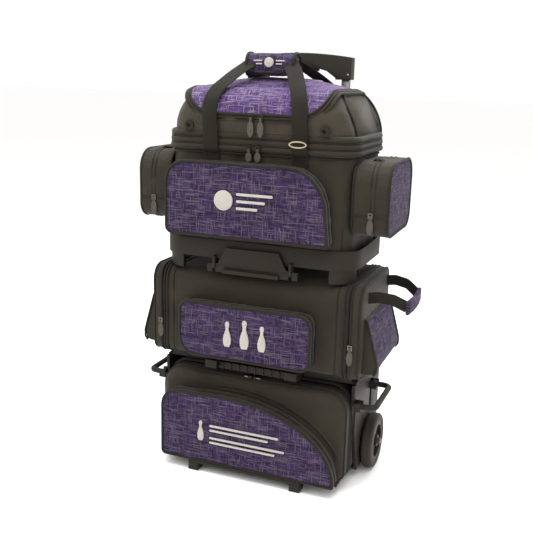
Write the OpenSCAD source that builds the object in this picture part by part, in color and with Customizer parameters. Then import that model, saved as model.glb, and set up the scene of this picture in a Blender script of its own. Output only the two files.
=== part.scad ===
// Three-tier rolling bag for six bowling balls.
// +X is the user's right, +Y the back (handle side), +Z up. The origin is on the floor, mid width, mid depth.

/* [Fabric totes] */
// Half width of the top tote's body
tote_half = 226; // [222:1:228]
// Front face of the tote bodies
body_front = -139; // [-142:1:-137]
// Front face of the stuffed pockets
pocket_front = -181; // [-190:1:-176]
// Back face of the tote bodies
body_back = 130; // [126:1:131]
// Thickness of the padded fabric walls
wall = 5; // [4:0.5:5]

/* [Tier heights] */
// Underside of the shelf that carries the middle tote
shelf_z = 262; // [261:1:263]
// Underside of the middle tote
mid_z = 287; // [287:1:289]
// Top of the middle tote
mid_top = 509; // [508:0.5:509.5]
// Underside of the tray below the top tote
tray_z = 543; // [542:1:545]
// Rim of that tray
tray_rim = 588; // [584:1:592]
// Zip line between the ball compartment and the upper compartment
zip_z = 796; // [794:1:798]
// Crown of the lid
lid_top = 962; // [954:1:966]

/* [Wheels] */
// Outer radius of a wheel
wheel_r = 69; // [66:1:70]
// Width of a tyre
wheel_w = 28; // [24:1:30]
// Distance of the wheel axle behind the middle of the depth
axle_y = 37; // [34:1:42]

/* [Pull handle] */
// Half distance between the two tubes
tube_x = 118; // [114:1:120]
// Top of the grip with the handle pushed in
grip_top = 1026; // [1020:1:1032]

/* [Side handles] */
// Height of the pivot of a side handle
bail_z = 212; // [206:1:220]
// Reach of a side handle beyond its pivot
bail_reach = 40; // [36:1:44]

/* [Hidden] */
shell_in = 243;                 // inner face of the base's side walls
shell_out = 251;                // outer face of the base's side walls
shell_back = 146;
shell_front = -100;             // front edge of the base's side walls, at the top
tube_front = 150;               // front face of the pull handle's tubes
tube_d = 22;
tube_w = 26;
tube_y = tube_front + tube_d / 2;
wheel_in = shell_out + 3;
bail_r = 7;
bail_bend = 16;                 // bend radius of its corners
bail_x = shell_out + 9;
bail_ys = [-95, 60];             // its two arms
bail_slot = 75;                 // length of the recess below each arm
bracket_gap = 8.2;              // from the middle of an arm to the lugs beside it
lug = 5.8;                      // thickness of such a lug
mid_half = 238;
mid_wall = 2.5;                 // thin, so that a ball fits between the tiers
tray_half = 244;
band_half = 237;
band_z = 842;
hood_half = 220;
hood_r = 50;                    // radius of its top edges, seen from the end
hood_cz = 887;                  // height of their centres
hood_side = [[220, 838], [216, 868], [208, 894], [196, 918], [178, 940]];
hood_back = 117;                // where the hood's fold line runs
flap_half = 170;
flap_back = 108;
flap_zip_z = 884;
end_x = 264;                    // outer face of the middle tote's end panels
web_z = 476;                    // hinge line of the webbing handles
flap_top = 250;                 // top of the bottom bag's front flap
latch_y = -146.5;               // hinge line of the tray's latch
latch_z = 527;
grip_low = 962;                 // underside of the grip's two ends
inner_top = 969.8;
leg = 32;                       // length of the tray's legs
slider_bar = 1.2;               // radius of the bar that a zip pull hangs on
strap_x = 108;
strap_w = 38;
ball_r = 108;

black = "#2b2926";
charcoal = "#35322e";
purple = "#5b4590";
foam = "#4a4a4c";
steel = "#8c8c90";

// ---- outlines and directions ----

function arc(cx, cy, r, a0, a1, n = 6) =
    [for (i = [0:n]) let (a = a0 + (a1 - a0) * i / n) [cx + r * cos(a), cy + r * sin(a)]];

// Rectangle with its own radius at each corner: bottom left, bottom right, top right, top left
function round_box(x0, y0, x1, y1, rs) = concat(
    arc(x0 + rs[0], y0 + rs[0], rs[0], 180, 270),
    arc(x1 - rs[1], y0 + rs[1], rs[1], 270, 360),
    arc(x1 - rs[2], y1 - rs[2], rs[2], 0, 90),
    arc(x0 + rs[3], y1 - rs[3], rs[3], 90, 180));

function ellipse(cx, cy, rx, ry, n = 20) =
    [for (i = [0:n - 1]) let (a = 360 * i / n) [cx + rx * cos(a), cy + ry * sin(a)]];

module box(low, high) {
    translate(low) cube(high - low);
}

// Outline in x and z, extruded from y0 to y1
module along_y(points, y0, y1) {
    translate([0, y1, 0]) rotate([90, 0, 0]) linear_extrude(y1 - y0) polygon(points);
}

// Outline in y and z, extruded from x0 to x1
module along_x(points, x0, x1) {
    translate([x0, 0, 0]) rotate([90, 0, 90]) linear_extrude(x1 - x0) polygon(points);
}

// Outline in x and y, extruded from z0 to z1
module along_z(points, z0, z1) {
    translate([0, 0, z0]) linear_extrude(z1 - z0) polygon(points);
}

module rod_x(x0, x1, y, z, r) {
    translate([x0, y, z]) rotate([0, 90, 0]) cylinder(h = x1 - x0, r = r, $fn = 48);
}

module rod_y(y0, y1, x, z, r) {
    translate([x, y0, z]) rotate([-90, 0, 0]) cylinder(h = y1 - y0, r = r, $fn = 48);
}

module both_sides() {
    children();
    mirror([1, 0, 0]) children();
}

// side is 1 for the right and -1 for the left
module on_side(side) {
    if (side > 0) children();
    else mirror([1, 0, 0]) children();
}

// ---- base, frame and shelf ----

// Its side walls lean forward to carry the front of the shelf
shell_side = [[-46, 20], [shell_back, 20], [shell_back, shelf_z], [shell_front, shelf_z], [shell_front, 206],
    [shell_front + 18, 136]];

module base_shell() {
    color(black) difference() {
        union() {
            along_x(shell_side, -shell_out, shell_out);
            box([-shell_out + 20, -150, 20], [shell_out - 20, -45, 27]);
        }
        box([-shell_in, -200, 28], [shell_in, shell_back - 8, shelf_z + 1]);
        both_sides() {
            rod_x(shell_in - 1, shell_out + 1, axle_y, wheel_r, 5.1);
            for (y = bail_ys)
                box([shell_out - 4, y - 11, bail_z - bail_slot], [shell_out + 1, y + 11, bail_z + 12]);
        }
    }
}

module front_feet() {
    color(black) both_sides()
        along_x([[-178, 0], [-152, 0], [-140, 19.7], [-180, 19.7], [-180, 2]], 121, 148);
    color(black) box([-148, -180, 19.8], [148, -151, 27]);
}

module back_board() {
    color(black) box([-200, shell_back - 8, shelf_z + 25], [200, shell_back, 600]);
}

module outer_tubes() {
    color(charcoal) both_sides() difference() {
        box([tube_x - tube_w / 2, tube_front, 60], [tube_x + tube_w / 2, tube_front + tube_d, 880]);
        box([tube_x - tube_w / 2 + 2, tube_front + 2, 59],
            [tube_x + tube_w / 2 - 2, tube_front + tube_d - 2, 881]);
    }
}

// Ties the two tubes together at the top, and steadies the tray of the top tote lower down
module tube_bracket() {
    color(black) difference() {
        box([-tube_x - 22, tube_front - 4, 880], [tube_x + 22, tube_front + tube_d + 4, 902]);
        both_sides()
            box([tube_x - 11.5, tube_front + 1.5, 879], [tube_x + 11.5, tube_front + tube_d - 1.5, 903]);
    }
    color(black) both_sides() difference() {
        box([tube_x - 20, 118, 530], [tube_x + 20, tube_front + tube_d + 4, 542.5]);
        box([tube_x - tube_w / 2, tube_front, 529], [tube_x + tube_w / 2, 200, 543]);
        box([-200, shell_back - 8, 529], [200, shell_back, 543]);
    }
}

module middle_shelf() {
    rib_pitch = 21;
    back = body_back + 6;
    color(black) union() {
        box([-mid_half, shell_front + 10, shelf_z], [mid_half, back, mid_z - 0.5]);
        box([-shell_out, shell_front + 10, shelf_z], [shell_out, back, shelf_z + 4]);
        box([-119, -127, shelf_z], [119, shell_front + 11, mid_z - 4]);
        box([-86, -136, shelf_z + 3], [86, -126, mid_z - 4]);
        for (i = [-3.5:1:3.5])
            box([i * rib_pitch - 2, -140, shelf_z + 3], [i * rib_pitch + 2, -136, mid_z - 4]);
        both_sides() box([88, -146, shelf_z + 4], [119, -127, mid_z - 0.5]);
        both_sides() box([190, back, shelf_z], [200, shell_back - 8, mid_z - 0.5]);
    }
}

module axle_bolts() {
    color(steel) both_sides() {
        rod_x(wheel_in + wheel_w + 1, wheel_in + wheel_w + 8, axle_y, wheel_r, 8);
        rod_x(shell_in - 8, wheel_in + wheel_w + 1, axle_y, wheel_r, 5);
        translate([shell_in - 7, axle_y, wheel_r]) rotate([0, 90, 0]) cylinder(h = 7, r = 9, $fn = 6);
    }
}

module side_handle_brackets() {
    color(black) both_sides() for (y = bail_ys, from = [-bracket_gap - lug, bracket_gap]) difference() {
        box([shell_out + 0.1, y + from, bail_z - 10], [bail_x + 9, y + from + lug, bail_z + 10]);
        rod_y(y + from - 1, y + from + lug + 1, bail_x, bail_z, 4.05);
    }
}

// ---- bottom bag ----

function bottom_outline(inset, top = 257) =
    round_box(-242 + inset, 29 + inset, 242 - inset, top - inset, [14, 14, 52, 52]);

module bottom_bag_body() {
    color(charcoal) difference() {
        along_y(bottom_outline(0), -92, body_back + 6);
        along_y(bottom_outline(wall), -93, body_back + 1);
        both_sides() rod_x(shell_in - 12, shell_in + 1, axle_y, wheel_r, 12);
    }
}

// Foam block with a hollow for each ball, whose lowest point is at z_ball
module ball_cups(z, height, y_mid, half_w, half_d, z_ball) {
    color(foam) difference() {
        box([-half_w, y_mid - half_d, z], [half_w, y_mid + half_d, z + height]);
        both_sides() translate([half_w / 2, y_mid, z_ball + ball_r]) sphere(r = ball_r, $fn = 64);
    }
}

module bottom_ball_cups() {
    ball_cups(34.2, 26, 20, 218, 98, 35);
}

module bottom_flap_panel() {
    color(charcoal) difference() {
        along_y(bottom_outline(0, flap_top), body_front, -94);
        along_y(bottom_outline(wall, flap_top), body_front + wall, -93);
    }
}

// The upper edge is straight from the left and falls away in a wide curve on the right
module bottom_front_pocket() {
    curve = [for (i = [12:-1:0]) let (a = 90 * i / 12) [-50 + 280 * sin(a), 31 + 178 * cos(a)]];
    outline = concat(arc(-214, 39, 10, 180, 270, 4), [[230, 29]], curve, arc(-182, 163, 42, 90, 180, 6));
    color(purple) along_y(outline, pocket_front, body_front - 0.2);
}

// ---- wheels ----

module tyre(side) {
    r = 7;
    color(charcoal) on_side(side) translate([wheel_in, axle_y, wheel_r]) rotate([0, 90, 0])
        rotate_extrude($fn = 96) polygon(concat([[52, 0]], arc(wheel_r - r, r, r, 270, 360),
            arc(wheel_r - r, wheel_w - r, r, 0, 90), [[52, wheel_w]]));
}

module rim(side) {
    spokes = 5;
    color(black) on_side(side) translate([wheel_in, axle_y, wheel_r]) rotate([0, 90, 0]) difference() {
        union() {
            difference() {
                translate([0, 0, 1]) cylinder(h = wheel_w - 2, r = 51.95, $fn = 96);
                cylinder(h = wheel_w, r = 41, $fn = 96);
            }
            translate([0, 0, 1]) cylinder(h = wheel_w - 1, r = 15, $fn = 48);
            for (i = [0:spokes - 1])
                rotate([0, 0, i * 360 / spokes]) translate([10, -5, 6]) cube([33, 10, 14]);
        }
        translate([0, 0, -1]) cylinder(h = wheel_w + 2, r = 5.05, $fn = 48);
    }
}

// ---- side handles ----

module bail_corner(x, y, turn) {
    translate([x, y, bail_z]) rotate([0, 0, turn])
        rotate_extrude(angle = 90, $fn = 96) translate([bail_bend, 0]) circle(r = bail_r, $fn = 48);
}

module side_handle(side) {
    x1 = bail_x + bail_reach;
    color(black) on_side(side) union() {
        for (y = bail_ys) {
            rod_x(bail_x + 1, x1 - bail_bend, y, bail_z, bail_r);
            rod_y(y - 14, y + 14, bail_x, bail_z, 4);
            rod_y(y - 8, y + 8, bail_x, bail_z, bail_r + 1);
        }
        rod_y(bail_ys[0] + bail_bend, bail_ys[1] - bail_bend, x1, bail_z, bail_r);
        bail_corner(x1 - bail_bend, bail_ys[1] - bail_bend, 0);
        bail_corner(x1 - bail_bend, bail_ys[0] + bail_bend, 270);
    }
}

// ---- middle tote ----

function mid_outline(inset) =
    round_box(body_front + inset, mid_z + inset, body_back - inset, mid_top - inset, [28, 24, 30, 36]);

module middle_tote_body() {
    color(charcoal) difference() {
        along_x(mid_outline(0), -mid_half, mid_half);
        along_x(mid_outline(mid_wall), -mid_half - 1, mid_half + 1);
    }
}

module middle_front_pocket() {
    outline = round_box(-174, 306, 160, 440, [44, 24, 30, 22]);
    color(purple) along_y(outline, pocket_front, body_front - 0.2);
}

module middle_ball_cups() {
    ball_cups(mid_z + mid_wall + 0.2, 24, -4, 218, 96, mid_z + mid_wall + 0.7);
}

// Shallow dish beyond the zip, which swings down on the tote's lower edge
module end_panel(side) {
    color(charcoal) on_side(side) difference() {
        along_x(mid_outline(0), mid_half + 2, end_x);
        along_x(mid_outline(mid_wall), mid_half + 1, end_x - wall);
    }
}

// Wedge-shaped pocket, thicker at the bottom
module end_pocket(side) {
    inner = end_x + 0.2;
    section = [[inner, 300], [296, 302], [303, 312], [303, 330], [276, 428], [270, 434], [inner, 434]];
    color(purple) on_side(side) along_y(section, -118, 108);
}

// Webbing loop, standing out on the right
module end_strap_right() {
    color(charcoal) for (s = [-1, 1]) hull() {
        box([end_x + 0.3, s * 92 - 2, web_z], [end_x + 2.3, s * 92 + 2, web_z + 14]);
        box([348, s * 64 - 2, 446], [350, s * 64 + 2, 472]);
    }
}

module end_grip_right() {
    color(purple) box([350.2, -68, 442], [360, 68, 476]);
}

// Webbing loop, hanging against the pocket on the left
module end_strap_left() {
    color(charcoal) for (s = [-1, 1]) hull() {
        box([-end_x - 2.3, s * 80 - 14, web_z - 14], [-end_x - 0.3, s * 80 + 14, web_z]);
        box([-301, s * 80 - 14, 389], [-297, s * 80 + 14, 394]);
    }
}

module end_grip_left() {
    color(purple) box([-304, -88, 366], [-296, 88, 388.8]);
}

// ---- top tote ----

function tray_outline(inset) =
    round_box(-tray_half + inset, body_front + inset, tray_half - inset, body_back - inset, [60, 60, 40, 40]);

function tote_plan(inset) =
    round_box(-tote_half + inset, body_front + 3 + inset, tote_half - inset, body_back - 3 - inset,
        [54, 54, 36, 36]);

module top_tray() {
    color(black) difference() {
        union() {
            along_z(tray_outline(0), tray_z, tray_rim);
            both_sides() {
                intersection() {
                    box([184, body_front, tray_z - leg], [tray_half, -92, tray_z + 2]);
                    difference() {
                        along_z(tray_outline(4), tray_z - leg - 1, tray_z + 3);
                        along_z(tray_outline(14), tray_z - leg - 2, tray_z + 4);
                    }
                }
                difference() {
                    box([93, latch_y - 5, latch_z - 6], [99, body_front + 8, tray_z + 8]);
                    rod_x(92, 100, latch_y, latch_z, 3.1);
                }
            }
        }
        along_z(tray_outline(2.8), tray_z + 5, tray_rim + 1);
    }
}

module top_tote_body() {
    color(charcoal) difference() {
        along_z(tote_plan(0), tray_z + 5.2, zip_z);
        along_z(tote_plan(wall), tray_z + 5.2 + wall, zip_z + 1);
    }
}

// The upper right corner is a wide curve, the left one a smaller curve
module top_front_pocket() {
    curve = [for (i = [10:-1:0]) let (a = 90 * i / 10) [92 + 92 * sin(a), 672 + 102 * cos(a)]];
    outline = concat(arc(-194, 618, 16, 180, 270, 4), [[192, 602]], curve, arc(-160, 722, 50, 90, 180, 6));
    color(purple) along_y(outline, pocket_front, body_front - 0.2);
}

module side_pocket(side) {
    outline = round_box(-122, 622, 106, 788, [36, 36, 48, 48]);
    color(purple) on_side(side) along_x(outline, tote_half + 0.2, 312);
}

module strap_anchors() {
    color(charcoal) both_sides() for (y = [body_front, body_back - 2.8])
        box([strap_x - strap_w / 2, y, tray_rim + 0.3], [strap_x + strap_w / 2, y + 2.8, zip_z - 1]);
}

module top_ball_cups() {
    ball_cups(tray_z + 10.4, 24, -4, 217, 92, tray_z + 14);
}

module latch_plate() {
    y0 = latch_y - 5;
    y1 = latch_y + 5;
    face = [[-114, 512], [114, 512], [114, 531], [86, 533], [66, 572], [-66, 572], [-86, 533], [-114, 531]];
    color(black) union() {
        difference() {
            along_y(face, y0 + 3, y1 - 1);
            both_sides() box([92, y0 - 1, latch_z - 16], [100, y1 + 1, 600]);
        }
        rod_x(-113, 113, latch_y, latch_z, 3);
        box([-70, y0 - 6, 512], [70, y0 + 4, 521]);
    }
}

// ---- upper compartment and lid ----

// Barrel profile in y and z
function hood_outline(inset) = concat(
    [[-137 + inset, band_z - 2 + inset], [-146 + inset, 872]],
    arc(-96, hood_cz, hood_r - inset, 180, 90, 8),
    arc(82, hood_cz, hood_r - inset, 90, 0, 8),
    [[132 - inset, band_z - 2 + inset]]);

// Front view of the hood in x and z, whose ends lean in towards the top
function hood_front(inset) = concat(
    [for (p = hood_side) [p[0] - inset, p[1]]],
    [for (i = [len(hood_side) - 1:-1:0]) [inset - hood_side[i][0], hood_side[i][1]]]);

module hood_dome(inset) {
    intersection() {
        along_x(hood_outline(inset), -hood_half, hood_half);
        along_y(hood_front(inset), -200, 200);
    }
}

module flap_plan(margin, z1) {
    along_z(round_box(-flap_half - margin, -170, flap_half + margin, flap_back + margin, [90, 90, 12, 12]),
        flap_zip_z - margin, z1);
}

module hood_body() {
    difference() {
        union() {
            along_z(round_box(-band_half, -142, band_half, 131, [56, 56, 38, 38]), zip_z + 1, band_z);
            hood_dome(0);
        }
        along_z(tote_plan(wall), zip_z, band_z - 4);
        hood_dome(wall);
        flap_plan(0, 1000);
    }
}

module upper_shell() {
    color(charcoal) difference() {
        hood_body();
        box([-300, hood_back - 0.5, 700], [300, 200, 1000]);
    }
}

// The hood's back wall, which stays on the tote when the hood opens
module upper_back_panel() {
    color(charcoal) intersection() {
        hood_body();
        box([-300, hood_back + 0.5, 700], [300, 200, 1000]);
    }
}

module upper_fittings() {
    color(black) both_sides() translate([164, -147.8, 852]) rotate([-90, 0, 0]) difference() {
        cylinder(h = 4, r = 11, $fn = 48);
        translate([0, 0, -1]) cylinder(h = 6, r = 5, $fn = 48);
    }
    color(steel) for (p = concat(lid_sliders, band_sliders)) slider(p);
}

// Crowned panel, between the front zip and the fold line at the back
module lid_flap() {
    crown = [for (i = [0:12]) let (y = -118 + 19 * i) [y, lid_top - 42 * pow(abs(y) / 118, 2.2)]];
    inner = [for (i = [12:-1:0]) crown[i] - [0, wall]];
    front = [[-146.2, flap_zip_z + 1], [-145, 898]];
    section = concat(front, crown, inner, [[-140, 896], [-141, flap_zip_z + 1]]);
    color(purple) intersection() {
        along_x(section, -flap_half, flap_half);
        flap_plan(-0.8, 1000);
    }
}

// Webbing strip of width w through points in y and z, whose middle runs through xs
module strip(points, xs, w) {
    for (i = [0:len(points) - 2]) hull() for (k = [i, i + 1])
        translate([xs[k] - w / 2, points[k][0] - 1.4, points[k][1] - 1.4]) cube([w, 2.8, 2.8]);
}

// Foot of each front strap, which stays on the hood
module strap_roots() {
    path = [[-149, 799], [-156, 846], [-156, 868]];
    color(charcoal) both_sides() strip(path, [strap_x, strap_x, strap_x], strap_w);
}

module carry_strap_front() {
    color(charcoal) both_sides()
        strip([[-156, 872], [-158, 908], [-124, 957], [-68, 987]], [strap_x, strap_x, 96, 62], strap_w - 4);
}

module carry_strap_back() {
    path = [[96, 940], [50, 964], [-14.5, 992]];
    color(charcoal) both_sides() strip(path, [strap_x - 8, 84, 50], strap_w - 4);
}

// Padded sleeve that holds the straps together
module handle_wrap() {
    section = round_box(-60, 984, -16, 1020, [10, 10, 16, 16]);
    hollow = round_box(-57, 990, -19, 1000, [4, 4, 4, 4]);
    color(purple) difference() {
        along_x(section, -54, 54);
        along_x(hollow, -55, 55);
    }
}

// Oval ring that the right front strap passes through
module strap_ring() {
    color(steel) translate([strap_x, -158, 822]) rotate([90, 0, 0]) difference() {
        linear_extrude(3) polygon(ellipse(0, 0, 21, 8));
        translate([0, 0, -1]) linear_extrude(5) polygon(ellipse(0, 0, 18, 5));
    }
}

// ---- pull handle ----

module inner_tubes() {
    color(steel) both_sides()
        box([tube_x - 10, tube_front + 3.5, 140], [tube_x + 10, tube_front + tube_d - 3.5, inner_top]);
}

module handle_grip() {
    x1 = 134;
    hand_half = 94;
    top = concat([[-x1, grip_low]],
        [for (i = [0:12]) let (x = x1 * (i / 6 - 1)) [x, grip_top - 10 * pow(x / x1, 2)]],
        [[x1, grip_low]]);
    arch = [for (i = [0:8]) let (x = hand_half * (i / 4 - 1)) [x, 990 - 24 * pow(x / hand_half, 4)]];
    hand = concat([[-hand_half, 940]], arch, [[hand_half, 940]]);
    color(charcoal) difference() {
        along_y(top, tube_front - 6, tube_front + tube_d + 6);
        along_y(hand, tube_front - 7, tube_front + tube_d + 7);
        both_sides()
            box([tube_x - 10.2, tube_front + 3.3, grip_low - 1],
                [tube_x + 10.2, tube_front + tube_d - 3.3, inner_top + 0.2]);
        box([-47, tube_y - 8, 980], [47, tube_y + 8, 1004]);
    }
}

module release_trigger() {
    color(black) box([-46, tube_y - 7, 982], [46, tube_y + 7, 996]);
}

// ---- zips ----

// Slider block with a bridge bar along x for the pull; p is the middle of the bar
module slider(p) {
    translate(p) {
        difference() {
            translate([-5.5, -3, -5]) cube([11, 5, 13]);
            translate([-2.8, -4, -6]) cube([5.6, 5.4, 11]);
        }
        rod_x(-4, 4, -slider_bar, 0, slider_bar);
    }
}

// Oval pull that hangs from a slider at p, with length l
module pull(p, l = 36) {
    color(charcoal) translate([p[0], p[1] - slider_bar, p[2]]) {
        difference() {
            union() {
                rod_x(-2.4, 2.4, 0, 0, 2.3);
                translate([-2.4, -1.2, -8]) cube([4.8, 2.4, 8]);
            }
            rod_x(-3, 3, 0, 0, 1.5);
        }
        along_y(ellipse(0, -6 - l / 2, 7.5, l / 2), -1.2, 1.2);
    }
}

lid_sliders = [[-9, -148.2, 874], [15, -148.2, 874]];
band_sliders = [[-14, -144.2, 804], [8, -144.2, 804]];
pocket_sliders = [[270, -124.2, 672], [-270, -124.2, 672]];
end_sliders = [[244, -141.2, 368], [-244, -141.2, 368]];

module bottom_zip_sliders() {
    color(steel) for (x = [-16, 16]) {
        box([x - 5, -128, flap_top + 0.3], [x + 5, -114, flap_top + 3.2]);
        box([x - 22 * sign(x) - 2, -126, flap_top + 0.3], [x - 22 * sign(x) + 2, -98, flap_top + 1.8]);
    }
}

module middle_zip_sliders() {
    color(steel) for (p = end_sliders) slider(p);
}

module side_pocket_sliders() {
    color(steel) for (p = pocket_sliders) slider(p);
}

// ---- the nodes ----

base_shell();
front_feet();
back_board();
outer_tubes();
tube_bracket();
middle_shelf();
axle_bolts();
side_handle_brackets();
bottom_bag_body();
bottom_ball_cups();
bottom_flap_panel();
bottom_front_pocket();
bottom_zip_sliders();
tyre(1);  // tyre_right
tyre(-1);  // tyre_left
rim(1);  // rim_right
rim(-1);  // rim_left
side_handle(1);  // side_handle_right
side_handle(-1);  // side_handle_left
middle_tote_body();
middle_front_pocket();
middle_ball_cups();
middle_zip_sliders();
end_panel(1);  // end_panel_right
end_panel(-1);  // end_panel_left
end_pocket(1);  // end_pocket_right
end_pocket(-1);  // end_pocket_left
end_strap_right();
end_strap_left();
end_grip_right();
end_grip_left();
top_tray();
top_tote_body();
top_front_pocket();
side_pocket(1);  // side_pocket_right
side_pocket(-1);  // side_pocket_left
strap_anchors();
top_ball_cups();
side_pocket_sliders();
latch_plate();
upper_shell();
upper_back_panel();
upper_fittings();
strap_roots();
lid_flap();
carry_strap_front();
carry_strap_back();
handle_wrap();
strap_ring();
inner_tubes();
handle_grip();
release_trigger();
pull(lid_sliders[0]);  // pull_lid_left
pull(lid_sliders[1]);  // pull_lid_right
pull(band_sliders[0], 22);  // pull_band_left
pull(band_sliders[1], 22);  // pull_band_right
pull(pocket_sliders[0]);  // pull_pocket_right
pull(pocket_sliders[1]);  // pull_pocket_left
pull(end_sliders[0]);  // pull_end_right
pull(end_sliders[1]);  // pull_end_left
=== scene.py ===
import math

import bmesh
import bpy
from mathutils import Matrix, Vector, noise
from mathutils.bvhtree import BVHTree


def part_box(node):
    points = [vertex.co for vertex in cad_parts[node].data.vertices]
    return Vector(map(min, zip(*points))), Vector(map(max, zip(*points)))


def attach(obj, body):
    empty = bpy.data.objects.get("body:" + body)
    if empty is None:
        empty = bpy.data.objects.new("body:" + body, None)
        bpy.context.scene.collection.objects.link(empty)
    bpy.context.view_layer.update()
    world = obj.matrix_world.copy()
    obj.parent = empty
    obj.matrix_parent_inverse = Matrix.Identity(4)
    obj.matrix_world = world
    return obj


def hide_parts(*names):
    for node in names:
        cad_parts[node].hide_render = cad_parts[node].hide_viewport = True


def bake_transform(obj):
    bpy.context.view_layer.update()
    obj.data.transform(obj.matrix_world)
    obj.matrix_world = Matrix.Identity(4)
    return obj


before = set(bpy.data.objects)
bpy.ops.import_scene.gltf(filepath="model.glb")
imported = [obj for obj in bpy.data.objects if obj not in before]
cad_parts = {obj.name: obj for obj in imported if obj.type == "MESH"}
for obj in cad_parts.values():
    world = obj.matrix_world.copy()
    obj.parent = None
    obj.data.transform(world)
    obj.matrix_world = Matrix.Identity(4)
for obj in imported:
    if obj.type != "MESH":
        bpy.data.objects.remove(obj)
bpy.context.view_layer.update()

MM = 0.001
UP, RIGHT, BACK = Vector((0, 0, 1)), Vector((1, 0, 0)), Vector((0, 1, 0))
VOXEL = 4.5 * MM
SIDES = {"right": 1, "left": -1}
TOTE_CORNERS = [28, 24, 30, 36]
STITCH_STEP, STITCH_LENGTH, STITCH_WIDTH = 5.5 * MM, 3.6 * MM, 0.9 * MM


def at(*place):
    """A place or a move given in millimetres."""
    return Vector(place) * MM


def in_mm(corners):
    return [Vector(c) / MM for c in corners]


# ---- camera, light and floor ----

def make_camera():
    data = bpy.data.cameras.new("camera")
    data.sensor_width = 36
    data.lens = 52.55
    camera = bpy.data.objects.new("camera", data)
    turn = Matrix.Rotation(math.radians(21.4), 4, "Z")
    tilt = Matrix.Rotation(math.radians(90 - 13.65), 4, "X")
    roll = Matrix.Rotation(math.radians(1.46), 4, "Z")
    camera.matrix_world = Matrix.Translation((0.675, -1.774, 0.963)) @ turn @ tilt @ roll
    bpy.context.scene.collection.objects.link(camera)
    bpy.context.scene.camera = camera


def make_light(name, place, aim, size, power):
    data = bpy.data.lights.new(name, "AREA")
    data.shape = "DISK"
    data.size = size
    data.energy = power
    lamp = bpy.data.objects.new(name, data)
    lamp.location = place
    lamp.rotation_euler = (Vector(aim) - Vector(place)).to_track_quat("-Z", "Y").to_euler()
    bpy.context.scene.collection.objects.link(lamp)


def make_studio():
    world = bpy.data.worlds.new("studio")
    world.use_nodes = True
    world.node_tree.nodes["Background"].inputs["Color"].default_value = (1, 0.99, 0.98, 1)
    world.node_tree.nodes["Background"].inputs["Strength"].default_value = 1.03
    bpy.context.scene.world = world
    bpy.context.scene.view_settings.view_transform = "Standard"
    middle = (0, 0, 0.5)
    make_light("overhead", (0, -0.3, 3.2), middle, 3.0, 140)
    make_light("key", (-1.3, -2.4, 2.4), middle, 1.4, 20)
    make_light("fill", (2.4, -1.4, 1.3), middle, 1.6, 4)
    make_light("rim", (0.6, 2.4, 2.2), middle, 1.2, 16)
    bm = bmesh.new()
    bmesh.ops.create_grid(bm, x_segments=8, y_segments=8, size=40)
    keep(bm, "floor", floor_paint())


# ---- materials ----

def add(tree, kind, **values):
    node = tree.nodes.new(kind)
    for key, value in values.items():
        setattr(node, key, value)
    return node


def wire(tree, source, target):
    """Links an output to an input, or sets the input where the source is a plain value."""
    if isinstance(source, bpy.types.NodeSocket):
        tree.links.new(source, target)
    elif source is not None:
        target.default_value = source


def math_node(tree, operation, a, b=None):
    """A Math node whose inputs are sockets or plain numbers; returns its output."""
    node = add(tree, "ShaderNodeMath", operation=operation)
    for socket, value in zip(node.inputs, (a, b)):
        wire(tree, value, socket)
    return node.outputs[0]


def times(tree, a, b):
    return math_node(tree, "MULTIPLY", a, b)


def mix_colours(tree, factor, a, b):
    node = add(tree, "ShaderNodeMix", data_type="RGBA")
    for index, value in ((0, factor), (6, a), (7, b)):
        wire(tree, value, node.inputs[index])
    return node.outputs[2]


def new_group(name, inputs, outputs):
    tree = bpy.data.node_groups.new(name, "ShaderNodeTree")
    for label, kind in inputs:
        tree.interface.new_socket(label, in_out="INPUT", socket_type=kind)
    for label, kind in outputs:
        tree.interface.new_socket(label, in_out="OUTPUT", socket_type=kind)
    return tree, add(tree, "NodeGroupInput"), add(tree, "NodeGroupOutput")


def streaks(tree, u, v, across, along, low, high):
    """Straight dashes of thread along u, in rows across v; the scales are per metre."""
    place = add(tree, "ShaderNodeCombineXYZ")
    row = math_node(tree, "FLOOR", times(tree, v, across))
    wire(tree, times(tree, u, along), place.inputs[0])
    wire(tree, times(tree, row, 3.7), place.inputs[1])
    field = add(tree, "ShaderNodeTexNoise")
    field.inputs["Scale"].default_value = 1
    field.inputs["Detail"].default_value = 1.5
    wire(tree, place.outputs[0], field.inputs["Vector"])
    ramp = add(tree, "ShaderNodeMapRange")
    ramp.inputs["From Min"].default_value = low
    ramp.inputs["From Max"].default_value = high
    wire(tree, field.outputs["Fac"], ramp.inputs["Value"])
    return ramp.outputs[0]


def heather_group():
    """Cross-hatched melange: pale and dark dashes of thread, along u and along v."""
    tree, given, result = new_group(
        "heather", [("U", "NodeSocketFloat"), ("V", "NodeSocketFloat")],
        [("Pale", "NodeSocketFloat"), ("Dark", "NodeSocketFloat"), ("Height", "NodeSocketFloat")])
    u, v = given.outputs["U"], given.outputs["V"]
    pale = math_node(tree, "MAXIMUM", streaks(tree, u, v, 560, 24, 0.53, 0.64),
                     streaks(tree, v, u, 560, 34, 0.55, 0.68))
    dark = math_node(tree, "MAXIMUM", streaks(tree, u, v, 430, 26, 0.50, 0.62),
                     streaks(tree, v, u, 430, 30, 0.52, 0.64))
    grain = math_node(tree, "ADD", streaks(tree, u, v, 1300, 240, 0.3, 0.7),
                      streaks(tree, v, u, 1300, 240, 0.3, 0.7))
    wire(tree, pale, result.inputs["Pale"])
    wire(tree, dark, result.inputs["Dark"])
    wire(tree, math_node(tree, "ADD", pale, times(tree, grain, 0.5)), result.inputs["Height"])
    return tree


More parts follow.
